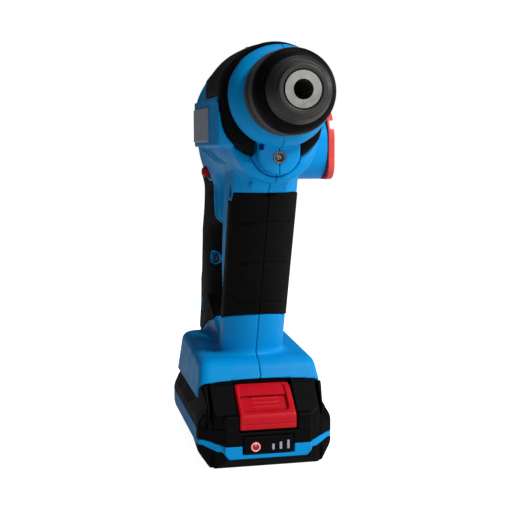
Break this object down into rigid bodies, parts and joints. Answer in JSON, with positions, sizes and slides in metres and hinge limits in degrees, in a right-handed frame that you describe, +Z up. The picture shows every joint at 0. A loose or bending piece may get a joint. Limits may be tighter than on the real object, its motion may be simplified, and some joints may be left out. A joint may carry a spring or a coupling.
{
  "type": "cordless rotary hammer drill",
  "caption": "Compact battery rotary hammer drill with a closed D-handle, keyless chuck, side mode knob and slide-on battery.",
  "frame": {"origin": "centre of the battery's flat base, on the surface it stands on", "axes": "-Y is the way the chuck points, +Z is up, +X is the side with the mode knob"},
  "size_m": [0.0817, 0.234, 0.2468],
  "materials": {
    "blue_plastic": "fine satin texture",
    "black_rubber": "soft matte",
    "black_plastic": "fine texture",
    "dark_metal": "dark coated",
    "red_plastic": "satin gloss",
    "steel": "ground",
    "aluminium": "as cast",
    "magnet": "dull",
    "carbon": "dull",
    "copper": "turned",
    "winding": "enamelled wire and laminations",
    "white_plastic": "moulded",
    "clear_lens": "clear moulded",
    "label_grey": "satin film",
    "cell_wrap": "shrink wrap",
    "circuit_board": "solder mask"
  },
  "bodies": {
    "housing": {"right_housing": "blue_plastic", "left_housing": "blue_plastic", "nose_housing": "blue_plastic", "bumper_ring": "black_rubber", "right_top_pad": "black_rubber", "left_top_pad": "black_rubber", "right_grip_pad": "black_rubber", "left_grip_pad": "black_rubber", "right_strut_pad": "black_rubber", "left_strut_pad": "black_rubber", "side_label_plate": "label_grey", "led_lens": "clear_lens", "gear_plate": "aluminium", "spindle_bearing": "steel", "oil_seal": "black_rubber", "countershaft_bearings": "steel", "motor_can": "dark_metal", "motor_magnets": "magnet", "motor_bearings": "steel", "brush_holder": "black_plastic", "carbon_brushes": "carbon", "switch_body": "black_plastic", "terminal_block": "black_plastic", "terminal_blades": "copper", "housing_screws": "dark_metal", "trigger_spring": "steel"},
    "spindle": {"tool_holder": "steel", "spindle_gear": "steel", "locking_balls": "steel", "dust_cap": "black_rubber", "chuck_base_ring": "dark_metal", "sleeve_spring": "steel"},
    "sleeve": {"locking_sleeve": "black_plastic"},
    "impact_bolt": {"impact_bolt": "steel"},
    "striker": {"striker": "steel"},
    "piston": {"piston": "aluminium", "piston_ring": "black_rubber"},
    "countershaft": {"countershaft": "steel", "countershaft_gear": "steel", "wobble_hub": "steel"},
    "wobble": {"wobble_ring": "steel"},
    "rotor": {"armature_shaft": "steel", "armature_core": "winding", "commutator": "copper", "cooling_fan": "white_plastic"},
    "mode_selector": {"mode_knob": "red_plastic", "mode_shaft": "steel"},
    "trigger": {"trigger": "red_plastic"},
    "direction": {"direction_button": "red_plastic"},
    "battery": {"battery_case_bottom": "black_plastic", "battery_case_top": "black_plastic", "battery_band": "blue_plastic", "battery_cells": "cell_wrap", "battery_board": "circuit_board", "gauge_plate": "black_plastic", "release_spring": "steel"},
    "release": {"release_button": "red_plastic"},
    "gauge": {"gauge_button": "red_plastic"}
  },
  "joints": [
    {"name": "rotor_spin", "type": "hinge", "parent": "housing", "child": "rotor", "pos_m": [0, 0.004, 0.2145], "axis": [0, 1, 0], "continuous": true},
    {"name": "countershaft_spin", "type": "hinge", "parent": "housing", "child": "countershaft", "pos_m": [0, -0.049, 0.1885], "axis": [0, 1, 0], "continuous": true},
    {"name": "spindle_spin", "type": "hinge", "parent": "housing", "child": "spindle", "pos_m": [0, -0.086, 0.2145], "axis": [0, 1, 0], "continuous": true},
    {"name": "sleeve_slide", "type": "slide", "parent": "spindle", "child": "sleeve", "axis": [0, 1, 0], "range_m": [0, 0.005], "stiffness_N_per_m": 600, "springref_m": -0.01, "deforming": ["sleeve_spring"]},
    {"name": "impact_bolt_slide", "type": "slide", "parent": "spindle", "child": "impact_bolt", "axis": [0, -1, 0], "range_m": [0, 0.0015]},
    {"name": "striker_slide", "type": "slide", "parent": "spindle", "child": "striker", "axis": [0, 1, 0], "range_m": [0, 0.006]},
    {"name": "piston_slide", "type": "slide", "parent": "housing", "child": "piston", "axis": [0, -1, 0], "range_m": [-0.0065, 0.0065]},
    {"name": "wobble_swing", "type": "hinge", "parent": "housing", "child": "wobble", "pos_m": [0, -0.049, 0.1885], "axis": [1, 0, 0], "range_deg": [-14.5, 14.5]},
    {"name": "mode_turn", "type": "hinge", "parent": "housing", "child": "mode_selector", "pos_m": [0.037, -0.0305, 0.1885], "axis": [1, 0, 0], "range_deg": [-90, 90]},
    {"name": "trigger_pull", "type": "slide", "parent": "housing", "child": "trigger", "axis": [0, 1, 0], "range_m": [0, 0.007], "stiffness_N_per_m": 500, "springref_m": -0.01, "deforming": ["trigger_spring"]},
    {"name": "direction_slide", "type": "slide", "parent": "housing", "child": "direction", "axis": [1, 0, 0], "range_m": [-0.003, 0.003]},
    {"name": "battery_slide", "type": "slide", "parent": "housing", "child": "battery", "axis": [0, -1, 0], "range_m": [0, 0.12]},
    {"name": "release_press", "type": "slide", "parent": "battery", "child": "release", "axis": [0, 0.6, -0.8], "range_m": [0, 0.0045], "stiffness_N_per_m": 800, "springref_m": -0.004, "deforming": ["release_spring"]},
    {"name": "gauge_press", "type": "slide", "parent": "battery", "child": "gauge", "axis": [0, 1, 0], "range_m": [0, 0.001], "stiffness_N_per_m": 500, "springref_m": -0.001}
  ],
  "couplings": [
    {"joint": "countershaft_spin", "follows": "rotor_spin", "ratio": -0.3},
    {"joint": "spindle_spin", "follows": "rotor_spin", "ratio": 0.09},
    {"joint": "wobble_swing", "follows": "piston_slide", "rad_per_m": 38.462}
  ]
}
